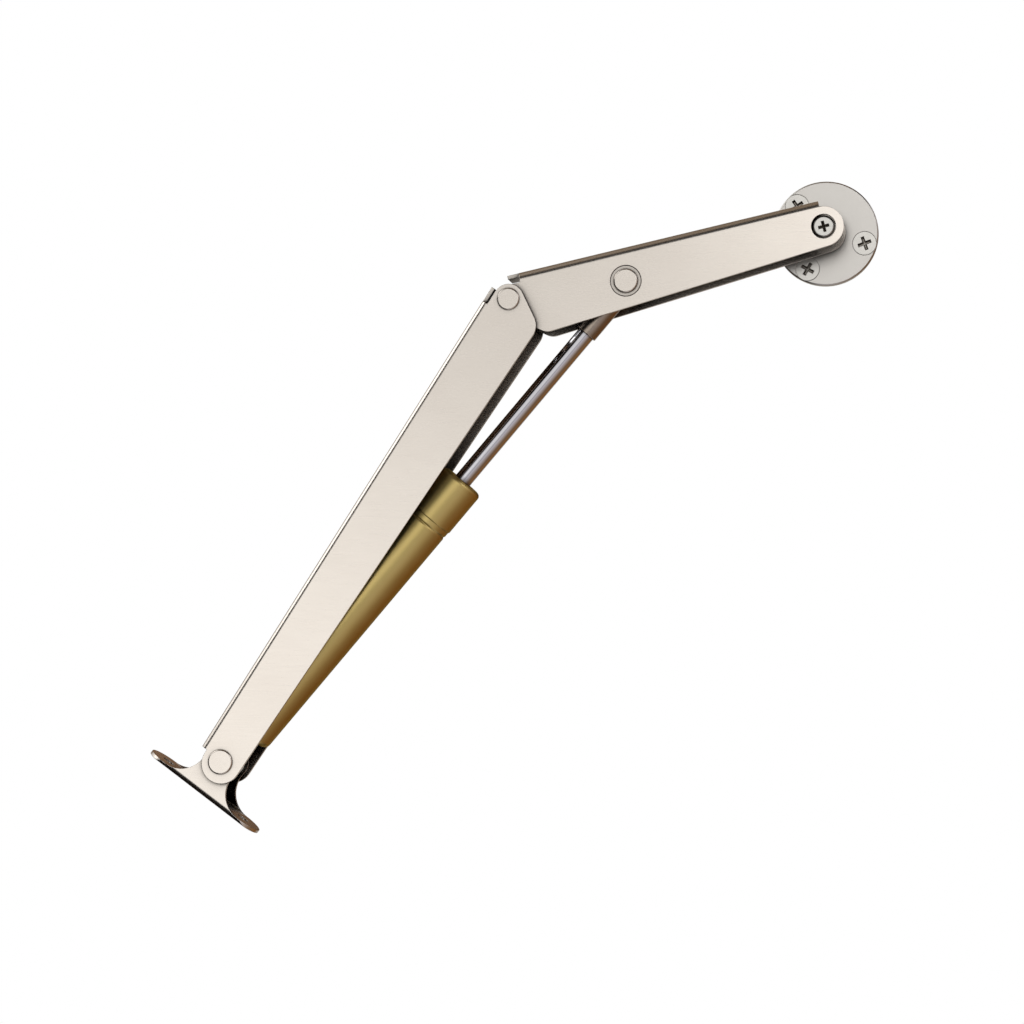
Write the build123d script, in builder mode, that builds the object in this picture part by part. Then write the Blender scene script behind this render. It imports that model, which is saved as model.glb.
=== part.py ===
from build123d import *
import os
from math import atan2, cos, degrees, hypot, radians, sin

# Lid stay with two folding arms and an oil damper.
# X is to the right, Z is up and Y runs away from the viewer, along the pivots.
# The origin is the centre of the base disc on its mounting face.

# Sheet metal
sheet = 1.2
bend_radius = 2.0
upper_bend_radius = 2.8
fold_depth = 40.0

# Base disc and its screws
disc_diameter = 35.2
disc_thickness = 3.0
disc_rim = 0.4
screw_circle_radius = 13.4
screw_angles = (-15, 136, 243)
screw_turns = (20, 35, 60)
screw_head_diameter = 7.9
screw_diameter = 4.0
screw_length = 16.0
screw_point_length = 6.0
screw_hole_diameter = 4.4
screw_edge = 0.1
screw_recess = (4.6, 1.1, 1.8)
recess_taper = 12

# Pivot between the disc and the upper arm
washer_thickness = 0.4
washer_gap = 0.1
pivot_thread_diameter = 4.0
pivot_thread_depth = 2.4
pivot_head_diameter = 7.4
pivot_head_height = 2.4
pivot_head_sink = 0.3
pivot_head_crown = (0.4, 0.6)
pivot_recess = (3.6, 0.9, 1.5)
pivot_recess_turn = 15
bush_diameter = 6.0
flange_diameter = 8.6
flange_thickness = 0.8
running_fit = 0.05

# Upper arm: pivot to pivot, slope above the horizontal, and outline
upper_length = 107.5
upper_slope = 12.6
upper_width = 16.4
upper_web_at_elbow = 8.3
upper_web_at_top = 9.0
upper_elbow_ear = 4.8
upper_top_ear = 6.7
upper_corner = (11.5, -8.5)
upper_corner_radius = 5.0
upper_bend_start = 4.9
upper_bend_end = 107.5
upper_tab_end = 0.8
head_hole_diameter = 8.2
damper_pin_along = 39.6
damper_pin_below = 2.75

# Lower arm: pivot to pivot, slope above the horizontal, and outline
lower_length = 182.8
lower_slope = 58.2
lower_width = 19.5
lower_web_at_foot = 8.4
lower_web_at_elbow = 7.3
lower_foot_ear = 6.7
lower_foot_ear_centre = (-0.4, -0.5)
lower_elbow_ear = 5.1
lower_corner = (176.9, -7.6)
lower_corner_radius = 6.0
lower_bend_start = 1.0
lower_bend_end = 177.7
lower_tab_end = 183.4
lower_end_cut = (20.0, 30.0)

# Rivets
rivet_diameter = 5.0
elbow_head_diameter = 7.4
foot_head_diameter = 8.3
rivet_head_height = 0.7
rivet_edge = 0.3
damper_rivet_diameter = 4.0
damper_rivet_head_diameter = 8.0
damper_rivet_head_height = 1.0
coined_ring_diameter = 10.6
coined_ring_depth = 0.3
coined_ring_taper = 40

# Foot bracket
foot_width = 16.5
foot_drop = 13.1
foot_slope = -36.1
foot_length = 45.6
foot_hole_spacing = 32.0
foot_hole_diameter = 4.2
foot_flank_radius = 9.6
foot_flank_centre = (15.5, -2.3)

# Damper, measured along its axis from the foot pivot
tail_eye_diameter = 9.6
tail_eye_width = 7.0
tail_bush_diameter = 6.4
tail_neck_diameter = 7.0
tube_start = 12.7
tube_end = 122.0
tube_diameter = 15.2
tube_bore = 13.6
tube_lip = 0.2
tube_curl_length = 0.8
tube_curl_round = 2.2
tube_curl_step = 1.4
tube_curl_gap = 0.6
head_start = 107.6
head_end = 124.3
head_diameter = 15.8
head_round = 1.6
head_edge = (0.3, 0.2)
groove_place = 105.4
groove_width = 1.0
groove_depth = 0.35
plug_end = 19.0
plug_ring_place = 16.4
ring_section = 1.6
guide_start = 113.0
guide_end = 119.0
seal_end = 121.4
seal_lip_half_gap = 0.5
seal_groove_depth = 1.2
rod_diameter = 6.0
rod_reach = 136.0
rod_tip_diameter = 4.0
rod_in_sleeve = 12.0
piston_length = 6.5
piston_gap = 0.1
piston_ring_width = 2.0
piston_ring_depth = 1.0
oil_hole_diameter = 1.0
oil_hole_circle_radius = 4.3
oil_holes = 4
piston_nut_length = 3.0
piston_nut_width = 7.0
rod_sleeve_length = 22.0
rod_sleeve_diameter = 7.4
rod_sleeve_edge = 0.2
rod_eye_diameter = 8.0
rod_eye_width = 8.0
rod_bush_diameter = 5.6
side_gap = 0.3

# Depths along Y
disc_front = -disc_thickness
upper_back = disc_front - washer_thickness - washer_gap
middle = upper_back - upper_width / 2
upper_inside = upper_width / 2 - sheet
lower_inside = lower_width / 2 - sheet
foot_inside = foot_width / 2 - sheet

# Pivots in the plane of the arms
elbow = (
    -upper_length * cos(radians(upper_slope)),
    -upper_length * sin(radians(upper_slope)),
)
foot = (
    elbow[0] - lower_length * cos(radians(lower_slope)),
    elbow[1] - lower_length * sin(radians(lower_slope)),
)


def side_plane(pivot, slope, y=middle):
    """Plane of a flat side: local X along the slope, local Z towards the viewer."""
    along = (cos(radians(slope)), 0, sin(radians(slope)))
    return Plane(origin=(pivot[0], y, pivot[1]), x_dir=along, z_dir=(0, -1, 0))


upper_side = side_plane(elbow, upper_slope)
lower_side = side_plane(foot, lower_slope)
foot_side = side_plane(foot, foot_slope)

# The damper pin sits on the open side of the upper arm's pivot line.
damper_pin = upper_side.from_local_coords(Vector(damper_pin_along, -damper_pin_below, 0))
damper_run = (damper_pin.X - foot[0], damper_pin.Z - foot[1])
damper_length = hypot(*damper_run)
damper_side = side_plane(foot, degrees(atan2(damper_run[1], damper_run[0])))
damper_axis = Axis(damper_side.origin, damper_side.x_dir)
pin_side = side_plane((damper_pin.X, damper_pin.Z), upper_slope)
top_side = side_plane((0, 0), upper_slope)
disc_plane = side_plane((0, 0), 0, 0)


def folded_section(width, deep, radius=bend_radius):
    """U section of folded sheet, with its web on local Y = 0 and its sides towards +Y."""
    half = width / 2
    inner = half - sheet
    with BuildSketch(mode=Mode.PRIVATE) as section:
        with BuildLine():
            outside = FilletPolyline(
                (-half, deep), (-half, 0), (half, 0), (half, deep), radius=radius
            )
            inside = FilletPolyline(
                (-inner, deep),
                (-inner, sheet),
                (inner, sheet),
                (inner, deep),
                radius=radius - sheet,
            )
            Line(outside @ 0, inside @ 0)
            Line(outside @ 1, inside @ 1)
        make_face()
    return section.sketch


def web_plane(side, web_height, tilt):
    """Plane across an arm at its first pivot, on the outer face of its web."""
    start = side.from_local_coords(Vector(0, web_height, 0))
    ahead = Vector(cos(radians(tilt)), sin(radians(tilt)), 0)
    direction = side.from_local_coords(ahead) - side.origin
    return Plane(origin=start, x_dir=(0, -1, 0), z_dir=direction)


def cross_recess(plane, turn, width, blade, depth):
    """Cross recess of a screw head, narrowing to its bottom."""
    with BuildPart(mode=Mode.PRIVATE) as recess:
        with BuildSketch(plane):
            Rectangle(width, blade, rotation=turn)
            Rectangle(blade, width, rotation=turn)
        extrude(amount=-depth, taper=recess_taper)
    return recess.part


# Base disc: bevelled rim, three countersunk holes and a tapped centre
with BuildPart() as base_disc:
    with BuildSketch(disc_plane):
        Circle(disc_diameter / 2)
    extrude(amount=disc_thickness)
    chamfer(base_disc.edges().group_by(Axis.Y)[0], disc_rim)
    for angle in screw_angles:
        with Locations(disc_plane.offset(disc_thickness)):
            with PolarLocations(screw_circle_radius, 1, start_angle=angle):
                CounterSinkHole(
                    screw_hole_diameter / 2,
                    screw_head_diameter / 2 + screw_edge,
                    counter_sink_angle=90,
                )
    with Locations(disc_plane.offset(disc_thickness)):
        Hole(pivot_thread_diameter / 2, depth=pivot_thread_depth)
base_disc.part.label = "base_disc"


def countersunk_screw(plane, turn):
    """Countersunk wood screw with its head flush in the given plane."""
    head = screw_head_diameter / 2
    shank = screw_diameter / 2
    with BuildPart(mode=Mode.PRIVATE) as screw:
        with BuildSketch(Plane(origin=plane.origin, x_dir=plane.x_dir, z_dir=-plane.y_dir)):
            with BuildLine():
                Polyline(
                    (0, 0),
                    (head, 0),
                    (head, -screw_edge),
                    (shank, shank - head - screw_edge),
                    (shank, screw_point_length - screw_length),
                    (0, -screw_length),
                    close=True,
                )
            make_face()
        revolve(axis=Axis(plane.origin, plane.z_dir))
        add(cross_recess(plane, turn, *screw_recess), mode=Mode.SUBTRACT)
    return screw.part


# Three countersunk screws in the disc
with BuildPart() as base_screws:
    for angle, turn in zip(screw_angles, screw_turns):
        centre = (
            screw_circle_radius * cos(radians(angle)),
            screw_circle_radius * sin(radians(angle)),
        )
        add(countersunk_screw(side_plane(centre, 0, disc_front), turn))
base_screws.part.label = "base_screws"

# Washer between the disc and the upper arm
with BuildPart() as pivot_washer:
    with BuildSketch(disc_plane.offset(disc_thickness)):
        Circle(flange_diameter / 2)
        Circle(bush_diameter / 2, mode=Mode.SUBTRACT)
    extrude(amount=washer_thickness)
pivot_washer.part.label = "pivot_washer"

# Sleeve that carries the upper arm's back plate under a flange and spaces the screw's head
flange_start = disc_thickness + washer_thickness + sheet + 2 * washer_gap
head_top = upper_width - upper_back - pivot_head_sink
head_base = head_top - pivot_head_height
with BuildPart() as pivot_bush:
    with BuildSketch(disc_plane.offset(disc_thickness)):
        Circle(bush_diameter / 2)
    extrude(amount=head_base - disc_thickness)
    with BuildSketch(disc_plane.offset(flange_start)):
        Circle(flange_diameter / 2)
    extrude(amount=flange_thickness)
    with BuildSketch(disc_plane.offset(disc_thickness)):
        Circle(pivot_thread_diameter / 2)
    extrude(amount=head_base, mode=Mode.SUBTRACT)
pivot_bush.part.label = "pivot_bush"

# Pivot screw with a domed head that fills the hole in the front plate
with BuildPart() as pivot_screw:
    thread_start = disc_thickness - pivot_thread_depth
    with BuildSketch(disc_plane.offset(thread_start)):
        Circle(pivot_thread_diameter / 2)
    extrude(amount=head_base - thread_start)
    with BuildSketch(disc_plane.offset(head_base)):
        Circle(pivot_head_diameter / 2)
    extrude(amount=pivot_head_height)
    chamfer(pivot_screw.edges().group_by(Axis.Y)[0], *pivot_head_crown)
    head_plane = disc_plane.offset(head_top)
    add(cross_recess(head_plane, pivot_recess_turn, *pivot_recess), mode=Mode.SUBTRACT)
pivot_screw.part.label = "pivot_screw"

# Upper arm: folded channel that tapers, with its web on top
upper_tilt = degrees(atan2(upper_web_at_top - upper_web_at_elbow, upper_length))
upper_web = web_plane(upper_side, upper_web_at_elbow, upper_tilt)


def web_height(at_start, at_end, length, along):
    """Height of a web's outer face above the pivot line."""
    return at_start + (at_end - at_start) * along / length


with BuildPart() as upper_arm:
    with BuildSketch(upper_side):
        Circle(upper_elbow_ear)
        with Locations(upper_corner):
            Circle(upper_corner_radius)
        with Locations((upper_length, 0)):
            Circle(upper_top_ear)
        make_hull()
        with BuildLine():
            Polyline(
                (upper_bend_start, 0),
                (upper_bend_start, upper_web_at_top + sheet),
                (upper_bend_end, upper_web_at_top + sheet),
                (upper_bend_end, 0),
                close=True,
            )
        make_face()
    extrude(amount=upper_width / 2, both=True)
    with BuildSketch(upper_web):
        add(folded_section(upper_width, fold_depth, upper_bend_radius))
    extrude(amount=2 * upper_length, both=True, mode=Mode.INTERSECT)
    # Flat tab of the web beyond the bends at the elbow
    with BuildSketch(upper_side):
        with BuildLine():
            low = web_height(
                upper_web_at_elbow, upper_web_at_top, upper_length, upper_bend_start
            )
            Polyline(
                (upper_tab_end, upper_web_at_elbow - sheet),
                (upper_tab_end, upper_web_at_elbow),
                (upper_bend_start, low),
                (upper_bend_start, low - sheet),
                close=True,
            )
        make_face()
    extrude(amount=upper_width / 2 - upper_bend_radius, both=True)
    # Running holes at the elbow, in both plates
    with Locations(upper_side):
        Hole(rivet_diameter / 2 + running_fit)
    # Damper rivet's holes, each in a shallow coined ring
    with Locations(pin_side):
        Hole(damper_rivet_diameter / 2)
    for side in (1, -1):
        with BuildSketch(pin_side.offset(side * upper_width / 2)):
            Circle(coined_ring_diameter / 2)
        extrude(
            amount=-side * coined_ring_depth, taper=coined_ring_taper, mode=Mode.SUBTRACT
        )
    # Hole for the screw's head in the front plate and for the sleeve in the back plate
    with BuildSketch(top_side):
        Circle(head_hole_diameter / 2)
    extrude(amount=upper_width, mode=Mode.SUBTRACT)
    with BuildSketch(top_side):
        Circle(bush_diameter / 2 + running_fit)
    extrude(amount=-upper_width, mode=Mode.SUBTRACT)
upper_arm.part.label = "upper_arm"

# Lower arm: wider folded channel, open towards the damper
lower_tilt = degrees(atan2(lower_web_at_elbow - lower_web_at_foot, lower_length))
lower_web = web_plane(lower_side, lower_web_at_foot, lower_tilt)
with BuildPart() as lower_arm:
    with BuildSketch(lower_side):
        with Locations(lower_foot_ear_centre):
            Circle(lower_foot_ear)
        with Locations(lower_corner):
            Circle(lower_corner_radius)
        with Locations((lower_length, 0)):
            Circle(lower_elbow_ear)
        make_hull()
        with BuildLine():
            Polyline(
                (lower_bend_start, 0),
                (lower_bend_start, lower_web_at_foot + sheet),
                (lower_bend_end, lower_web_at_foot + sheet),
                (lower_bend_end, 0),
                close=True,
            )
        make_face()
    extrude(amount=lower_width / 2, both=True)
    with BuildSketch(lower_web):
        add(folded_section(lower_width, fold_depth))
    extrude(amount=2 * lower_length, both=True, mode=Mode.INTERSECT)
    # The bend stops short of the foot pivot
    with BuildSketch(lower_side):
        with Locations((lower_bend_start, 0)):
            Rectangle(*lower_end_cut, align=(Align.MAX, Align.CENTER))
    extrude(amount=lower_inside, both=True, mode=Mode.SUBTRACT)
    # Flat tab of the web beyond the bends at the elbow
    with BuildSketch(lower_side):
        with BuildLine():
            high = web_height(lower_web_at_foot, lower_web_at_elbow, lower_length, lower_bend_end)
            Polyline(
                (lower_bend_end, high - sheet),
                (lower_bend_end, high),
                (lower_tab_end, lower_web_at_elbow),
                (lower_tab_end, lower_web_at_elbow - sheet),
                close=True,
            )
        make_face()
    extrude(amount=lower_width / 2 - bend_radius, both=True)
    # Rivet holes at both pivots
    with Locations(lower_side, side_plane(elbow, lower_slope)):
        Hole(rivet_diameter / 2)
lower_arm.part.label = "lower_arm"


def through_rivet(pivot, head_diameter, outer_width):
    """Rivet through two plates, with a low head in front and a formed one behind."""
    with BuildPart(mode=Mode.PRIVATE) as rivet:
        with BuildSketch(side_plane(pivot, 0)):
            Circle(rivet_diameter / 2)
        extrude(amount=outer_width / 2, both=True)
        for side in (1, -1):
            with BuildSketch(side_plane(pivot, 0).offset(side * outer_width / 2)):
                Circle(head_diameter / 2)
            extrude(amount=side * rivet_head_height)
        chamfer(rivet.edges().group_by(Axis.Y)[0], rivet_edge)
        chamfer(rivet.edges().group_by(Axis.Y)[-1], rivet_edge)
    return rivet.part


with BuildPart() as elbow_rivet:
    add(through_rivet(elbow, elbow_head_diameter, lower_width))
elbow_rivet.part.label = "elbow_rivet"

with BuildPart() as foot_rivet:
    add(through_rivet(foot, foot_head_diameter, lower_width))
foot_rivet.part.label = "foot_rivet"

# Two nylon spacers that keep the damper's tail in the middle of the foot rivet
spacer_length = (2 * foot_inside - tail_eye_width) / 2 - side_gap
with BuildPart() as tail_spacers:
    for side in (1, -1):
        start = side * (tail_eye_width + side_gap) / 2
        with BuildSketch(side_plane(foot, 0).offset(start)):
            Circle(tail_eye_diameter / 2)
            Circle(rivet_diameter / 2, mode=Mode.SUBTRACT)
        extrude(amount=side * spacer_length)
tail_spacers.part.label = "tail_spacers"

# Damper rivet: its two heads sit in the upper arm's plates
with BuildPart() as damper_rivet:
    for side in (1, -1):
        with BuildSketch(pin_side.offset(side * upper_inside)):
            Circle(damper_rivet_diameter / 2)
        extrude(amount=side * sheet)
        with BuildSketch(pin_side.offset(side * (upper_width / 2 - coined_ring_depth))):
            Circle(damper_rivet_head_diameter / 2)
        extrude(amount=side * damper_rivet_head_height)
    chamfer(damper_rivet.edges().group_by(Axis.Y)[0], rivet_edge)
    chamfer(damper_rivet.edges().group_by(Axis.Y)[-1], rivet_edge)
damper_rivet.part.label = "damper_rivet"

# Foot bracket: base plate with rounded feet and two ears whose concave flanks run into it
foot_web = Plane(
    origin=foot_side.from_local_coords(Vector(0, -foot_drop, 0)),
    x_dir=(0, 1, 0),
    z_dir=foot_side.x_dir,
)
foot_face = Plane(origin=foot_web.origin, x_dir=foot_side.x_dir, z_dir=foot_side.y_dir)
flank_along, flank_up = foot_flank_centre
flank_distance = hypot(flank_along, flank_up)
foot_ear_radius = flank_distance - foot_flank_radius
with BuildPart() as foot_bracket:
    with BuildSketch(foot_side):
        with Locations((0, -foot_drop)):
            Rectangle(
                2 * flank_along,
                foot_drop + flank_up * foot_ear_radius / flank_distance,
                align=(Align.CENTER, Align.MIN),
            )
        with Locations((flank_along, flank_up), (-flank_along, flank_up)):
            Circle(foot_flank_radius, mode=Mode.SUBTRACT)
        Circle(foot_ear_radius)
        with Locations((0, -foot_drop)):
            Rectangle(foot_length, sheet, align=(Align.CENTER, Align.MIN))
    extrude(amount=foot_width / 2, both=True)
    with BuildSketch(foot_web):
        add(folded_section(foot_width, fold_depth))
    extrude(amount=foot_length, both=True, mode=Mode.INTERSECT)
    with BuildSketch(foot_face):
        SlotOverall(foot_length, foot_width)
    extrude(amount=fold_depth, mode=Mode.INTERSECT)
    with Locations(foot_side):
        Hole(rivet_diameter / 2 + running_fit)
    with Locations(foot_face.offset(sheet)):
        with GridLocations(foot_hole_spacing, 0, 2, 1):
            Hole(foot_hole_diameter / 2, depth=2 * sheet)
foot_bracket.part.label = "foot_bracket"


def turned(*points):
    """Round piece on the damper's axis, from distances along it and radii."""
    with BuildPart(mode=Mode.PRIVATE) as piece:
        with BuildSketch(damper_side):
            with BuildLine():
                Polyline(*points, close=True)
            make_face()
        revolve(axis=damper_axis)
    return piece.part


# Tail of the damper: eye, neck and plug with a ring groove
bore = tube_bore / 2
ring_start = plug_ring_place - ring_section / 2
ring_stop = plug_ring_place + ring_section / 2
with BuildPart() as tail_plug:
    add(
        turned(
            (0, 0),
            (0, tail_neck_diameter / 2),
            (tube_start - tube_lip, tail_neck_diameter / 2),
            (tube_start - tube_lip, bore - tube_curl_step),
            (tube_start - tube_lip + tube_curl_step, bore),
            (ring_start, bore),
            (ring_start, bore - ring_section),
            (ring_stop, bore - ring_section),
            (ring_stop, bore),
            (plug_end, bore),
            (plug_end, 0),
        )
    )
    with BuildSketch(damper_side):
        Circle(tail_eye_diameter / 2)
    extrude(amount=tail_eye_width / 2, both=True)
    with Locations(damper_side):
        Hole(tail_bush_diameter / 2)
tail_plug.part.label = "tail_plug"

# Bush in the tail eye, running on the foot rivet
with BuildPart() as tail_bush:
    with BuildSketch(damper_side):
        Circle(tail_bush_diameter / 2)
        Circle(rivet_diameter / 2 + running_fit, mode=Mode.SUBTRACT)
    extrude(amount=tail_eye_width / 2, both=True)
tail_bush.part.label = "tail_bush"

# Tube with a rolled groove below the head and an edge turned in at the tail
wall = tube_diameter / 2
with BuildPart() as damper_tube:
    shoulder = tube_start - tube_lip
    curl_start = shoulder - tube_curl_length
    curl_edge = tail_neck_diameter / 2 + tube_curl_gap
    add(
        turned(
            (curl_start, curl_edge),
            (curl_start, wall),
            (groove_place - groove_width / 2, wall),
            (groove_place, wall - groove_depth),
            (groove_place + groove_width / 2, wall),
            (tube_end, wall),
            (tube_end, bore),
            (shoulder + tube_curl_step, bore),
            (shoulder, bore - tube_curl_step),
            (shoulder, curl_edge),
        )
    )
    fillet(
        damper_tube.edges().filter_by(GeomType.CIRCLE).sort_by(damper_axis)[:2].sort_by(
            SortBy.RADIUS
        )[-1],
        tube_curl_round,
    )
damper_tube.part.label = "damper_tube"

# Head cap with a rounded shoulder, over the end of the tube
rod_bore = rod_diameter / 2 + running_fit
with BuildPart() as head_cap:
    add(
        turned(
            (head_start, wall),
            (head_start, head_diameter / 2 - head_edge[1]),
            (head_start + head_edge[0], head_diameter / 2),
            (head_end, head_diameter / 2),
            (head_end, rod_bore),
            (tube_end, rod_bore),
            (tube_end, wall),
        )
    )
    fillet(
        head_cap.edges().filter_by(GeomType.CIRCLE).sort_by(damper_axis)[-2:].sort_by(
            SortBy.RADIUS
        )[-1],
        head_round,
    )
head_cap.part.label = "head_cap"


def rod_ring(start, end, outer=bore, inner=rod_bore):
    """Plain ring round the rod, inside the tube."""
    return turned((start, inner), (start, outer), (end, outer), (end, inner))


with BuildPart() as rod_guide:
    add(rod_ring(guide_start, guide_end))
rod_guide.part.label = "rod_guide"

# Lip seal: a rubber ring with a groove between its lips
with BuildPart() as rod_seal:
    lip = (bore + rod_bore) / 2
    add(
        turned(
            (guide_end, rod_bore),
            (guide_end, lip - seal_lip_half_gap),
            (guide_end + seal_groove_depth, lip),
            (guide_end, lip + seal_lip_half_gap),
            (guide_end, bore),
            (seal_end, bore),
            (seal_end, rod_bore),
        )
    )
rod_seal.part.label = "rod_seal"

with BuildPart() as seal_washer:
    add(rod_ring(seal_end, tube_end))
seal_washer.part.label = "seal_washer"

# Rubber ring in the tail plug's groove
with BuildPart() as plug_ring:
    add(
        turned(
            (ring_start, bore - ring_section),
            (ring_start, bore),
            (ring_stop, bore),
            (ring_stop, bore - ring_section),
        )
    )
plug_ring.part.label = "plug_ring"

# Rod: its lower end is turned down to carry the piston and its nut
rod_low = damper_length - rod_reach
piston_start = rod_low + piston_nut_length
piston_end = piston_start + piston_length
sleeve_start = damper_length - rod_sleeve_length
rod_top = sleeve_start + rod_in_sleeve
with BuildPart() as damper_rod:
    add(
        turned(
            (rod_low, 0),
            (rod_low, rod_tip_diameter / 2),
            (piston_end, rod_tip_diameter / 2),
            (piston_end, rod_diameter / 2),
            (rod_top, rod_diameter / 2),
            (rod_top, 0),
        )
    )
damper_rod.part.label = "damper_rod"

# Piston with a groove for its ring
piston_edge = bore - piston_gap
piston_middle = (piston_start + piston_end) / 2
groove_low = piston_middle - piston_ring_width / 2
groove_high = piston_middle + piston_ring_width / 2
groove_floor = piston_edge - piston_ring_depth
rod_plane = Plane(origin=damper_axis.position, z_dir=damper_axis.direction)
with BuildPart() as piston:
    add(
        turned(
            (piston_start, rod_tip_diameter / 2),
            (piston_start, piston_edge),
            (groove_low, piston_edge),
            (groove_low, groove_floor),
            (groove_high, groove_floor),
            (groove_high, piston_edge),
            (piston_end, piston_edge),
            (piston_end, rod_tip_diameter / 2),
        )
    )
    with BuildSketch(rod_plane):
        with PolarLocations(oil_hole_circle_radius, oil_holes):
            Circle(oil_hole_diameter / 2)
    extrude(amount=damper_length, mode=Mode.SUBTRACT)
piston.part.label = "piston"

with BuildPart() as piston_ring:
    add(
        turned(
            (groove_low, groove_floor),
            (groove_low, bore - running_fit),
            (groove_high, bore - running_fit),
            (groove_high, groove_floor),
        )
    )
piston_ring.part.label = "piston_ring"

with BuildPart() as piston_nut:
    with BuildSketch(rod_plane.offset(rod_low)):
        RegularPolygon(piston_nut_width / 2, 6, major_radius=False)
        Circle(rod_tip_diameter / 2, mode=Mode.SUBTRACT)
    extrude(amount=piston_nut_length)
piston_nut.part.label = "piston_nut"

# Rod end: sleeve on the rod, with an eye across it
with BuildPart() as rod_end:
    add(
        turned(
            (sleeve_start, rod_diameter / 2),
            (sleeve_start, rod_sleeve_diameter / 2 - rod_sleeve_edge),
            (sleeve_start + rod_sleeve_edge, rod_sleeve_diameter / 2),
            (damper_length, rod_sleeve_diameter / 2),
            (damper_length, 0),
            (rod_top, 0),
            (rod_top, rod_diameter / 2),
        )
    )
    with BuildSketch(pin_side):
        Circle(rod_eye_diameter / 2)
    extrude(amount=rod_eye_width / 2, both=True)
    with Locations(pin_side):
        Hole(rod_bush_diameter / 2)
rod_end.part.label = "rod_end"

# Spacer bush in the rod's eye, between the upper arm's plates
with BuildPart() as rod_end_bush:
    with BuildSketch(pin_side):
        Circle(rod_bush_diameter / 2)
        Circle(damper_rivet_diameter / 2 + running_fit, mode=Mode.SUBTRACT)
    extrude(amount=upper_inside - side_gap, both=True)
rod_end_bush.part.label = "rod_end_bush"

pieces = (
    base_disc,
    base_screws,
    pivot_washer,
    pivot_bush,
    pivot_screw,
    upper_arm,
    damper_rivet,
    lower_arm,
    elbow_rivet,
    foot_rivet,
    tail_spacers,
    foot_bracket,
    tail_plug,
    tail_bush,
    plug_ring,
    damper_tube,
    head_cap,
    rod_guide,
    rod_seal,
    seal_washer,
    damper_rod,
    piston,
    piston_ring,
    piston_nut,
    rod_end,
    rod_end_bush,
)
os.makedirs("parts", exist_ok=True)
for piece in pieces:
    export_step(piece.part, f"parts/{piece.part.label}.step")
print("elbow", elbow)
print("foot", foot)
print("damper pin", damper_pin)
print("damper length", damper_length)
print("damper axis", damper_axis.direction)
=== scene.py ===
from math import cos, pi, radians, sin

import bmesh
import bpy
from mathutils import Matrix, Vector


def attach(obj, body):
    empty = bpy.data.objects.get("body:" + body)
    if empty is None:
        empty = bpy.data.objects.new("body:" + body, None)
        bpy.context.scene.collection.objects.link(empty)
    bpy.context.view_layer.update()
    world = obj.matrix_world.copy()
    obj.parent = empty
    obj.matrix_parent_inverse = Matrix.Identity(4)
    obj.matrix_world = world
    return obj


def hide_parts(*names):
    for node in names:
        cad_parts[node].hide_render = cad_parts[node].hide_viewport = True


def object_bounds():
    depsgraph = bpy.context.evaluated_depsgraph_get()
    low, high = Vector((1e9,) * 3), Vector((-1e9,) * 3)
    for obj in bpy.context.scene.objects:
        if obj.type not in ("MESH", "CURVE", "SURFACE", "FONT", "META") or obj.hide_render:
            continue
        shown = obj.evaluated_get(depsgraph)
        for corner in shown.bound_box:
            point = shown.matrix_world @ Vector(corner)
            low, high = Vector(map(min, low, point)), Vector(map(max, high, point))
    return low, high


# Lid stay with two folding arms and an oil damper, in metres.
# X is to the right, Z is up and Y runs away from the viewer, along the pivots.

MM = 0.001
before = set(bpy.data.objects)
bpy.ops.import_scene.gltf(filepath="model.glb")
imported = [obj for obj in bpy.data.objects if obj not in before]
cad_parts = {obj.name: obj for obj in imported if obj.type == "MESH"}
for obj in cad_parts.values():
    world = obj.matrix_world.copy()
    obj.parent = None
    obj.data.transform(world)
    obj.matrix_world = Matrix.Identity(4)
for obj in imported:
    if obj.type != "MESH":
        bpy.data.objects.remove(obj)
cad_low, cad_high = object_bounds()


# Colours and nodes

# Sockets of a Mix node that mixes colours
COLOUR_A, COLOUR_B, MIXED = 6, 7, 2
# Rays that feel for nearby faces, at edges and in recesses
NEARBY_SAMPLES = 8
# Nearly all of a noise lies between these two values
NOISE_LOW, NOISE_HIGH = 0.25, 0.75


def linear(code):
    """An sRGB hex colour as linear RGBA."""
    channels = [int(code[i : i + 2], 16) / 255 for i in (1, 3, 5)]
    lit = [c / 12.92 if c <= 0.04045 else ((c + 0.055) / 1.055) ** 2.4 for c in channels]
    return (*lit, 1.0)


def add_node(tree, kind, links=None, values=None, **settings):
    """A new node with its settings, its constant inputs and the sockets that feed it."""
    node = tree.nodes.new(kind)
    for name, value in settings.items():
        setattr(node, name, value)
    for socket, value in (values or {}).items():
        node.inputs[socket].default_value = value
    for socket, source in (links or {}).items():
        tree.links.new(source, node.inputs[socket])
    return node


def new_material(name):
    """An empty material with its shader and the object's own coordinates."""
    material = bpy.data.materials.new(name)
    material.use_nodes = True
    tree = material.node_tree
    tree.nodes.clear()
    shader = add_node(tree, "ShaderNodeBsdfPrincipled")
    add_node(tree, "ShaderNodeOutputMaterial", {"Surface": shader.outputs["BSDF"]})
    place = add_node(tree, "ShaderNodeTexCoord")
    return material, tree, shader, place.outputs["Object"]


def rounded_edges(tree, shader, radius, relief=None):
    """Broken edges of the given radius, with a relief pattern on the faces if there is one."""
    edge = add_node(tree, "ShaderNodeBevel", values={"Radius": radius}, samples=NEARBY_SAMPLES)
    if relief is None:
        tree.links.new(edge.outputs["Normal"], shader.inputs["Normal"])
        return
    pattern, strength, depth = relief
    bump = add_node(
        tree,
        "ShaderNodeBump",
        {"Height": pattern, "Normal": edge.outputs["Normal"]},
        {"Strength": strength, "Distance": depth},
    )
    tree.links.new(bump.outputs["Normal"], shader.inputs["Normal"])


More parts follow.
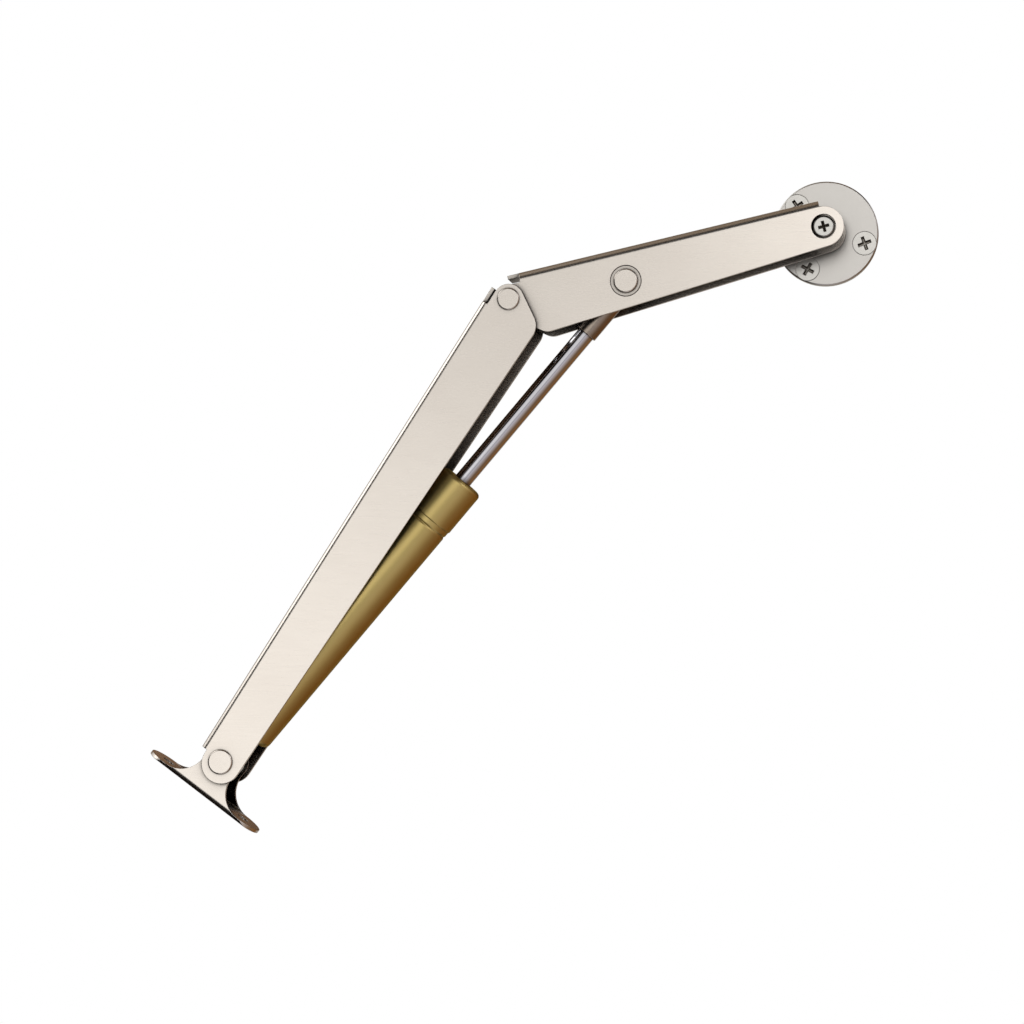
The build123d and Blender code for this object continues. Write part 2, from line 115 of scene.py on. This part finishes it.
def grain(tree, place, turn, along, across):
    """Noise with a real length and width, turned about Y."""
    turned = add_node(
        tree,
        "ShaderNodeMapping",
        {"Vector": place},
        {"Rotation": (0, turn, 0), "Scale": (1 / along, 1 / across, 1 / across)},
    )
    noise = add_node(
        tree,
        "ShaderNodeTexNoise",
        {"Vector": turned.outputs["Vector"]},
        {"Scale": 1.0, "Detail": 3.0, "Roughness": 0.6},
    )
    return noise.outputs["Fac"]


def clouded(tree, place, along, across, shades):
    """Two shades of one surface, mixed in soft clouds with a real length and width."""
    mix = add_node(
        tree,
        "ShaderNodeMix",
        {"Factor": grain(tree, place, 0, along, across)},
        {COLOUR_A: linear(shades[0]), COLOUR_B: linear(shades[1])},
        data_type="RGBA",
    )
    return mix.outputs[MIXED]


def uneven_sheen(tree, shader, pattern, low, high):
    """Roughness that wanders between two values with a pattern."""
    roughness = add_node(
        tree,
        "ShaderNodeMapRange",
        {"Value": pattern},
        {"From Min": NOISE_LOW, "From Max": NOISE_HIGH, "To Min": low, "To Max": high},
    )
    tree.links.new(roughness.outputs["Result"], shader.inputs["Roughness"])


def worn_and_highlit_edges(tree, plate, radius, bare_and_highlight):
    """A plate's colour that is lighter near its outer edges: partly rubbed wear, partly a painted
    highlight.
    """
    rounded = add_node(tree, "ShaderNodeBevel", values={"Radius": radius}, samples=NEARBY_SAMPLES)
    flat = add_node(tree, "ShaderNodeNewGeometry")
    alike = add_node(
        tree,
        "ShaderNodeVectorMath",
        {0: rounded.outputs["Normal"], 1: flat.outputs["Normal"]},
        operation="DOT_PRODUCT",
    )
    # The cosine is 1 on the flats and falls towards a corner
    worn_and_highlit = add_node(
        tree,
        "ShaderNodeMapRange",
        {"Value": alike.outputs["Value"]},
        {"From Min": 0.995, "From Max": 0.86, "To Min": 0.0, "To Max": 1.0},
    )
    mix = add_node(
        tree,
        "ShaderNodeMix",
        {"Factor": worn_and_highlit.outputs["Result"], COLOUR_A: plate},
        {COLOUR_B: linear(bare_and_highlight)},
        data_type="RGBA",
    )
    return mix.outputs[MIXED]


def painted_recess_shade(tree, unshaded, reach, recess_shade, covered=0.3, open_air=0.92):
    """A colour that darkens to a painted shade between two shares of open sky above a point,
    where shade falls in recesses.
    """
    open_sky = add_node(
        tree, "ShaderNodeAmbientOcclusion", values={"Distance": reach}, samples=NEARBY_SAMPLES
    )
    amount = add_node(
        tree,
        "ShaderNodeMapRange",
        {"Value": open_sky.outputs["AO"]},
        {"From Min": covered, "From Max": open_air},
    )
    mix = add_node(
        tree,
        "ShaderNodeMix",
        {"Factor": amount.outputs["Result"], COLOUR_B: unshaded},
        {COLOUR_A: linear(recess_shade)},
        data_type="RGBA",
    )
    return mix.outputs[MIXED]


# Finishes


def nickel_sheet(name, slope):
    """Nickel plate on rolled sheet: warm grey, satin, with a faint grain along the arm."""
    material, tree, shader, place = new_material(name)
    shader.inputs["Metallic"].default_value = 1.0
    # Real rolling lines are finer than this, which is the least that shows
    lines = grain(tree, place, -slope, 9 * MM, 0.25 * MM)
    plate = clouded(tree, place, 30 * MM, 18 * MM, ("#ddd4ca", "#e6ded4"))
    # Edges lighter, partly from rubbed wear and partly as a painted highlight
    rubbed_and_highlit = worn_and_highlit_edges(tree, plate, 0.3 * MM, "#f4ece2")
    # Inside the folded channels the colour is painted nearly black, as painted shade of their
    # depth
    colour = painted_recess_shade(tree, rubbed_and_highlit, 16 * MM, "#140b05", 0.5, 0.93)
    tree.links.new(colour, shader.inputs["Base Color"])
    uneven_sheen(tree, shader, lines, 0.25, 0.28)
    rounded_edges(tree, shader, 0.18 * MM, (lines, 0.012, 0.02 * MM))
    return material


def turned_steel(name, shades, roughness, edge, relief=0.05, recess_shade="#2a211a"):
    """Turned or cold-headed steel: even, with a very fine orange peel, and a painted shade
    darkening its recesses.
    """
    material, tree, shader, place = new_material(name)
    shader.inputs["Metallic"].default_value = 1.0
    # The real peel is finer than this, which is the least that shows
    peel = grain(tree, place, 0, 0.5 * MM, 0.5 * MM)
    plate = clouded(tree, place, 4 * MM, 4 * MM, shades)
    # Painted shade: the colour darkens in recesses, where shade falls
    colour = painted_recess_shade(tree, plate, 2.5 * MM, recess_shade)
    tree.links.new(colour, shader.inputs["Base Color"])
    uneven_sheen(tree, shader, peel, roughness - 0.01, roughness + 0.01)
    rounded_edges(tree, shader, edge, (peel, relief, 0.01 * MM))
    return material


def gold_lacquer():
    """Gold-coloured lacquer on a drawn steel tube: olive gold, satin, brown towards its sides."""
    material, tree, shader, place = new_material("gold_lacquer_on_steel")
    shader.inputs["Metallic"].default_value = 1.0
    colour = clouded(tree, place, 8 * MM, 8 * MM, ("#d6bd74", "#dec682"))
    tree.links.new(colour, shader.inputs["Base Color"])
    uneven_sheen(tree, shader, grain(tree, place, 0, 8 * MM, 8 * MM), 0.38, 0.42)
    shader.inputs["Specular Tint"].default_value = linear("#8f7434")
    shader.inputs["Coat Weight"].default_value = 0.15
    shader.inputs["Coat Roughness"].default_value = 0.1
    rounded_edges(tree, shader, 0.25 * MM)
    return material


def moulded(name, colour, roughness):
    """Moulded nylon or rubber: matt, with a faint texture from the mould."""
    material, tree, shader, place = new_material(name)
    shader.inputs["Base Color"].default_value = linear(colour)
    texture = grain(tree, place, 0, 0.4 * MM, 0.4 * MM)
    uneven_sheen(tree, shader, texture, roughness - 0.05, roughness + 0.05)
    rounded_edges(tree, shader, 0.1 * MM, (texture, 0.1, 0.02 * MM))
    return material


# How the folded pieces lean, which their grain follows
UPPER_SLOPE = radians(12.6)
LOWER_SLOPE = radians(58.2)
FOOT_SLOPE = radians(-36.1)
NICKEL = ("#ddd4ca", "#e6ded4")
finishes = {
    "upper_arm": nickel_sheet("nickel_plate_upper_arm", UPPER_SLOPE),
    "lower_arm": nickel_sheet("nickel_plate_lower_arm", LOWER_SLOPE),
    "foot_bracket": nickel_sheet("nickel_plate_foot", FOOT_SLOPE),
    # Fine-turned and plated: an even pale grey, cooler and duller than the arms
    "base_disc": turned_steel(
        "nickel_plate_disc", ("#cac6c0", "#d0ccc6"), 0.32, 0.2 * MM, relief=0.02
    ),
    # Cold-headed and zinc-plated: cool grey, with only a light painted shade in the recesses
    "screws": turned_steel(
        "zinc_plated_screw",
        ("#c0bdb7", "#d2cfc9"),
        0.28,
        0.15 * MM,
        relief=0.02,
        recess_shade="#8c867e",
    ),
    # Pressed heads under the arms' own plating: the same warm grey, without a grain
    "rivets": turned_steel("nickel_plated_rivet", NICKEL, 0.27, 0.2 * MM, relief=0.006),
    # Bare and oiled: brown-grey and dull
    "machined": turned_steel("oiled_machined_steel", ("#7a6a5a", "#86766a"), 0.3, 0.1 * MM),
    # Ground, chromed and polished: a near mirror with hard light and dark lines
    "chrome": turned_steel(
        "polished_chrome_rod", ("#d4d2d6", "#dad8dc"), 0.09, 0.1 * MM, relief=0.005
    ),
    # Turned and lightly oiled: darker and warmer than the rod
    "rod_end": turned_steel("satin_steel_rod_end", ("#a6988a", "#b3a597"), 0.3, 0.15 * MM),
    # Sintered: yellow-brown and dull, without a shine
    "bronze": turned_steel("sintered_bronze", ("#b58a50", "#c09660"), 0.4, 0.1 * MM),
    "gold": gold_lacquer(),
    "nylon": moulded("natural_nylon", "#dcd9cf", 0.5),
    "rubber": moulded("black_nitrile_rubber", "#1c1c1c", 0.6),
}
node_finish = {
    "base_disc": "base_disc",
    "base_screws": "screws",
    "pivot_washer": "nylon",
    "pivot_bush": "screws",
    "pivot_screw": "screws",
    "upper_arm": "upper_arm",
    "damper_rivet": "rivets",
    "lower_arm": "lower_arm",
    "elbow_rivet": "rivets",
    "foot_rivet": "rivets",
    "tail_spacers": "nylon",
    "foot_bracket": "foot_bracket",
    "tail_plug": "machined",
    "tail_bush": "nylon",
    "plug_ring": "rubber",
    "damper_tube": "gold",
    "head_cap": "gold",
    "rod_guide": "bronze",
    "rod_seal": "rubber",
    "seal_washer": "machined",
    "damper_rod": "chrome",
    "piston": "machined",
    "piston_ring": "nylon",
    "piston_nut": "machined",
    "rod_end": "rod_end",
    "rod_end_bush": "nylon",
}
for node, finish in node_finish.items():
    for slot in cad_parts[node].material_slots:
        slot.material = finishes[finish]


# Pieces with broken edges

SHARP_ANGLE = radians(30)
FLAT_ANGLE = radians(0.5)


def piece_from(node, name, finish):
    """A merged copy of a CAD piece, as a new mesh with one finish."""
    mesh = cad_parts[node].data.copy()
    mesh.name = name
    # The imported normals would no longer fit once the edges are broken
    for attribute in [a for a in mesh.attributes if a.name == "custom_normal"]:
        mesh.attributes.remove(attribute)
    bm = bmesh.new()
    bm.from_mesh(mesh)
    bmesh.ops.remove_doubles(bm, verts=bm.verts, dist=0.001 * MM)
    bmesh.ops.dissolve_limit(bm, angle_limit=FLAT_ANGLE, verts=bm.verts, edges=bm.edges)
    bm.to_mesh(mesh)
    bm.free()
    mesh.materials.clear()
    mesh.materials.append(finishes[finish])
    for polygon in mesh.polygons:
        polygon.use_smooth = True
        polygon.material_index = 0
    mesh.set_sharp_from_angle(angle=SHARP_ANGLE)
    piece = bpy.data.objects.new(name, mesh)
    bpy.context.collection.objects.link(piece)
    return piece


def break_edges(piece, width):
    """Small rounds on all sharp edges, as tumbling and plating leave them."""
    edge = piece.modifiers.new("broken_edges", "BEVEL")
    edge.width = width
    edge.segments = 2
    edge.limit_method = "ANGLE"
    edge.angle_limit = SHARP_ANGLE
    edge.harden_normals = True
    even = piece.modifiers.new("even_faces", "WEIGHTED_NORMAL")
    even.mode = "FACE_AREA"
    even.keep_sharp = True


# Wood screws of the disc: their places, and the thread along each shank
SCREW_CIRCLE, SCREW_ANGLES = 13.4 * MM, (-15, 136, 243)
DISC_FRONT, SCREW_LENGTH = -3.0 * MM, 16.0 * MM
SHANK, CORE, PITCH = 2.0 * MM, 1.4 * MM, 1.8 * MM
THREAD_START, POINT_LENGTH, POINT_TIP = 4.0 * MM, 6.0 * MM, 1.0 * MM
# The thread's foot lies inside the core, and its point narrows to this share
THREAD_FOOT, THREAD_HALF = 0.6 * CORE, 0.35 * PITCH
NARROWEST = 0.12
STEPS_A_TURN = 24
screw_centres = [
    (SCREW_CIRCLE * cos(radians(angle)), SCREW_CIRCLE * sin(radians(angle)))
    for angle in SCREW_ANGLES
]


def thin_shanks(piece):
    """Draws the shanks of the disc's screws in to the core of their thread."""
    for vertex in piece.data.vertices:
        depth = vertex.co.y - DISC_FRONT
        if depth < THREAD_START:
            continue
        x, z = min(
            screw_centres, key=lambda c: (vertex.co.x - c[0]) ** 2 + (vertex.co.z - c[1]) ** 2
        )
        vertex.co.x = x + (vertex.co.x - x) * CORE / SHANK
        vertex.co.z = z + (vertex.co.z - z) * CORE / SHANK


def wood_thread(name, centre):
    """Sharp helical thread of a wood screw, fading out along its point."""
    length = SCREW_LENGTH - THREAD_START - POINT_TIP
    steps = round(STEPS_A_TURN * length / PITCH)
    start = DISC_FRONT + THREAD_START
    bm = bmesh.new()
    corners = [
        bm.verts.new((THREAD_FOOT, start - THREAD_HALF, 0)),
        bm.verts.new((SHANK, start, 0)),
        bm.verts.new((THREAD_FOOT, start + THREAD_HALF, 0)),
    ]
    edges = [bm.edges.new((corners[i], corners[i - 1])) for i in range(3)]
    bmesh.ops.spin(
        bm,
        geom=corners + edges,
        cent=(0, 0, 0),
        axis=(0, 1, 0),
        dvec=(0, length / steps, 0),
        angle=2 * pi * steps / STEPS_A_TURN,
        steps=steps,
    )
    bmesh.ops.holes_fill(bm, edges=bm.edges, sides=3)
    bmesh.ops.recalc_face_normals(bm, faces=bm.faces)
    for vertex in bm.verts:
        left = DISC_FRONT + SCREW_LENGTH - vertex.co.y
        narrow = min(1.0, max(NARROWEST, left / POINT_LENGTH))
        vertex.co.x *= narrow
        vertex.co.z *= narrow
    bmesh.ops.translate(bm, verts=bm.verts, vec=(centre[0], 0, centre[1]))
    mesh = bpy.data.meshes.new(name)
    bm.to_mesh(mesh)
    bm.free()
    mesh.materials.append(finishes["screws"])
    piece = bpy.data.objects.new(name, mesh)
    bpy.context.collection.objects.link(piece)
    return piece


# The body that each finished piece rides on, and the width of its broken edges
finished_pieces = {
    "upper_arm": ("upper_arm", 0.15 * MM),
    "lower_arm": ("lower_arm", 0.15 * MM),
    "foot_bracket": ("foot", 0.15 * MM),
    "base_disc": ("base", 0.25 * MM),
    "base_screws": ("base", 0.12 * MM),
    "pivot_screw": ("base", 0.15 * MM),
    "damper_tube": ("cylinder", 0.15 * MM),
    "head_cap": ("cylinder", 0.2 * MM),
    "damper_rivet": ("upper_arm", 0.15 * MM),
    "elbow_rivet": ("lower_arm", 0.15 * MM),
    "foot_rivet": ("lower_arm", 0.15 * MM),
    "rod_end": ("rod", 0.12 * MM),
}
for number, centre in enumerate(screw_centres, 1):
    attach(wood_thread(f"wood_thread_{number}", centre), "base")
for node, (body, width) in finished_pieces.items():
    piece = piece_from(node, node + "_finished", node_finish[node])
    if node == "base_screws":
        thin_shanks(piece)
    break_edges(piece, width)
    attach(piece, body)
    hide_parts(node)


# Camera, light and floor

CAMERA_PLACE = (0.04895, -1.11527, -0.16011)
CAMERA_TURN, CAMERA_RISE, CAMERA_ROLL = radians(7.913), radians(3.384), radians(0.453)
LENS, SENSOR = 116.8, 36.0

# Soft boxes: place, aim, width, height and watts
CENTRE = (-0.1, -0.01, -0.09)
LAMPS = {
    "foot_light": ((-0.5, -1.0, -0.22), (-0.2, -0.02, -0.18), 0.5, 0.5, 0.46),
    "top_light": ((0.16, -1.1, 0.3), (0.0, -0.02, 0.0), 0.5, 0.5, 0.72),
    "side_light": ((-0.9, -0.2, 0.5), CENTRE, 0.6, 0.6, 1.5),
    "rim_light": ((0.7, -0.45, 0.45), (0.0, 0.0, 0.0), 0.3, 0.3, 0.6),
    "back": ((0.2, 0.9, 0.6), CENTRE, 0.8, 0.5, 0.6),
}

# The room that metal mirrors. Each list has colours against the cosine from one direction,
# and a share runs from black, where the layer is absent, to white, where it is whole.
FRONT = (-0.11, -0.985, 0.08)
FRONT_LEVELS = [(0.42, "#0c0a08"), (0.9, "#0c0a08"), (0.95, "#dcdcdc"), (0.985, "#ececec")]
# Sides: brown to the lower right, dark across the middle and white to the upper left
WHITE_SIDE = (-0.85, 0.0, 0.53)
SIDE_SHARE = [(0.45, "#ffffff"), (0.6, "#000000")]
SIDE_LEVELS = [
    (-0.9, "#8a6238"),
    (-0.5, "#6a4526"),
    (-0.15, "#0b0806"),
    (0.1, "#120c08"),
    (0.15, "#75522f"),
    (0.45, "#6e5f50"),
    (0.78, "#80705e"),
    (0.88, "#f4f4f4"),
]
# Near black to the lower left, as under the foot
LOWER_LEFT = (-0.59, 0.0, -0.81)
LOWER_LEFT_SHARE = [(0.2, "#000000"), (0.4, "#ffffff")]
LOWER_LEFT_COLOUR = "#120c08"
# Grey to the lower right, in front of the stay only
GREY_SHARE = [(-0.36, "#ffffff"), (-0.2, "#000000")]
AHEAD_SHARE = [(-0.5, "#000000"), (-0.1, "#ffffff")]
GREY_LEVELS = [(-0.97, "#7d6248"), (-0.82, "#a89a90"), (-0.5, "#c8c4c8"), (-0.3, "#cfccd0")]
# Pale behind and below, so that the back looks like nickel too
REAR = (0.0, 1.0, -0.42)
REAR_SHARE = [(0.88, "#000000"), (0.94, "#ffffff")]
REAR_COLOUR = "#b4ada3"

# The floor lies this far below the stay, with this half width, and glows to the camera
FLOOR_DROP, FLOOR_HALF, FLOOR_GLOW = 0.35, 1.9, 0.85
WHITE = (1.0, 1.0, 1.0, 1.0)
SOFT_GREY = (0.6, 0.6, 0.6, 1.0)


def add_camera():
    """Long lens at the height of the foot, turned slightly left and up."""
    data = bpy.data.cameras.new("camera")
    data.lens = LENS
    data.sensor_width = SENSOR
    camera = bpy.data.objects.new("camera", data)
    bpy.context.collection.objects.link(camera)
    camera.matrix_world = (
        Matrix.Translation(CAMERA_PLACE)
        @ Matrix.Rotation(CAMERA_TURN, 4, "Z")
        @ Matrix.Rotation(pi / 2 + CAMERA_RISE, 4, "X")
        @ Matrix.Rotation(CAMERA_ROLL, 4, "Z")
    )
    bpy.context.scene.camera = camera


def add_lamp(name, place, aim, width, height, power):
    """A soft box that faces the object."""
    data = bpy.data.lights.new(name, "AREA")
    data.shape = "RECTANGLE"
    data.size, data.size_y = width, height
    data.energy = power
    lamp = bpy.data.objects.new(name, data)
    bpy.context.collection.objects.link(lamp)
    lamp.location = place
    lamp.rotation_euler = (Vector(aim) - Vector(place)).to_track_quat("-Z", "Y").to_euler()


def room_zone(tree, aim, levels):
    """Colours of the mirrored room, set against the cosine from one direction."""
    place = add_node(tree, "ShaderNodeTexCoord")
    cosine = add_node(
        tree,
        "ShaderNodeVectorMath",
        {0: place.outputs["Generated"]},
        {1: Vector(aim).normalized()},
        operation="DOT_PRODUCT",
    )
    unit = add_node(
        tree,
        "ShaderNodeMapRange",
        {"Value": cosine.outputs["Value"]},
        {"From Min": -1.0, "From Max": 1.0},
    )
    zone = add_node(tree, "ShaderNodeValToRGB", {"Fac": unit.outputs["Result"]})
    stops = zone.color_ramp.elements
    while len(stops) < len(levels):
        stops.new(0.5)
    for stop, (level, colour) in zip(stops, levels):
        stop.position = (level + 1) / 2
        stop.color = linear(colour)
    return zone.outputs["Color"]


def mirrored_room(tree):
    """What metal mirrors: a bright front in a dark room, with the other zones laid over it."""
    sides = add_node(
        tree,
        "ShaderNodeMix",
        {
            "Factor": room_zone(tree, LOWER_LEFT, LOWER_LEFT_SHARE),
            COLOUR_A: room_zone(tree, WHITE_SIDE, SIDE_LEVELS),
        },
        {COLOUR_B: linear(LOWER_LEFT_COLOUR)},
        data_type="RGBA",
    )
    around = add_node(
        tree,
        "ShaderNodeMix",
        {
            "Factor": room_zone(tree, FRONT, SIDE_SHARE),
            COLOUR_A: room_zone(tree, FRONT, FRONT_LEVELS),
            COLOUR_B: sides.outputs[MIXED],
        },
        data_type="RGBA",
    )
    grey_share = add_node(
        tree,
        "ShaderNodeMath",
        {
            0: room_zone(tree, WHITE_SIDE, GREY_SHARE),
            1: room_zone(tree, FRONT, AHEAD_SHARE),
        },
        operation="MULTIPLY",
    )
    with_grey = add_node(
        tree,
        "ShaderNodeMix",
        {
            "Factor": grey_share.outputs["Value"],
            COLOUR_A: around.outputs[MIXED],
            COLOUR_B: room_zone(tree, WHITE_SIDE, GREY_LEVELS),
        },
        data_type="RGBA",
    )
    room = add_node(
        tree,
        "ShaderNodeMix",
        {"Factor": room_zone(tree, REAR, REAR_SHARE), COLOUR_A: with_grey.outputs[MIXED]},
        {COLOUR_B: linear(REAR_COLOUR)},
        data_type="RGBA",
    )
    return room.outputs[MIXED]


def add_world():
    """White to the camera, the mirrored room to metal and soft grey light to all else."""
    world = bpy.data.worlds.new("studio")
    bpy.context.scene.world = world
    world.use_nodes = True
    tree = world.node_tree
    tree.nodes.clear()
    ray = add_node(tree, "ShaderNodeLightPath")
    soft = add_node(tree, "ShaderNodeBackground", values={"Color": SOFT_GREY})
    in_metal = add_node(tree, "ShaderNodeBackground", {"Color": mirrored_room(tree)})
    white = add_node(tree, "ShaderNodeBackground", values={"Color": WHITE})
    lit = add_node(
        tree,
        "ShaderNodeMixShader",
        {0: ray.outputs["Is Glossy Ray"], 1: soft.outputs[0], 2: in_metal.outputs[0]},
    )
    shown = add_node(
        tree,
        "ShaderNodeMixShader",
        {0: ray.outputs["Is Camera Ray"], 1: lit.outputs[0], 2: white.outputs[0]},
    )
    add_node(tree, "ShaderNodeOutputWorld", {"Surface": shown.outputs[0]})


def add_floor():
    """White floor, well below the hanging stay: matt paint that glows a little to the camera."""
    bm = bmesh.new()
    bmesh.ops.create_grid(bm, x_segments=1, y_segments=1, size=FLOOR_HALF)
    bmesh.ops.translate(bm, verts=bm.verts, vec=(0, 0, cad_low.z - FLOOR_DROP))
    mesh = bpy.data.meshes.new("floor")
    bm.to_mesh(mesh)
    bm.free()
    floor = bpy.data.objects.new("floor", mesh)
    bpy.context.collection.objects.link(floor)
    material, tree, shader, _ = new_material("white_floor_paint")
    shader.inputs["Base Color"].default_value = linear("#f4f4f4")
    shader.inputs["Roughness"].default_value = 0.8
    ray = add_node(tree, "ShaderNodeLightPath")
    glow = add_node(tree, "ShaderNodeEmission", values={"Color": WHITE})
    share = add_node(
        tree,
        "ShaderNodeMath",
        {0: ray.outputs["Is Camera Ray"]},
        {1: FLOOR_GLOW},
        operation="MULTIPLY",
    )
    glowing = add_node(
        tree,
        "ShaderNodeMixShader",
        {0: share.outputs["Value"], 1: shader.outputs["BSDF"], 2: glow.outputs[0]},
    )
    # Metal mirrors the room below the stay, not the floor
    unseen = add_node(tree, "ShaderNodeBsdfTransparent")
    shown = add_node(
        tree,
        "ShaderNodeMixShader",
        {0: ray.outputs["Is Glossy Ray"], 1: glowing.outputs[0], 2: unseen.outputs[0]},
    )
    tree.links.new(shown.outputs[0], tree.nodes["Material Output"].inputs["Surface"])
    mesh.materials.append(material)


add_camera()
add_world()
add_floor()
for name, lamp in LAMPS.items():
    add_lamp(name, *lamp)

bpy.context.scene.view_settings.view_transform = "Standard"
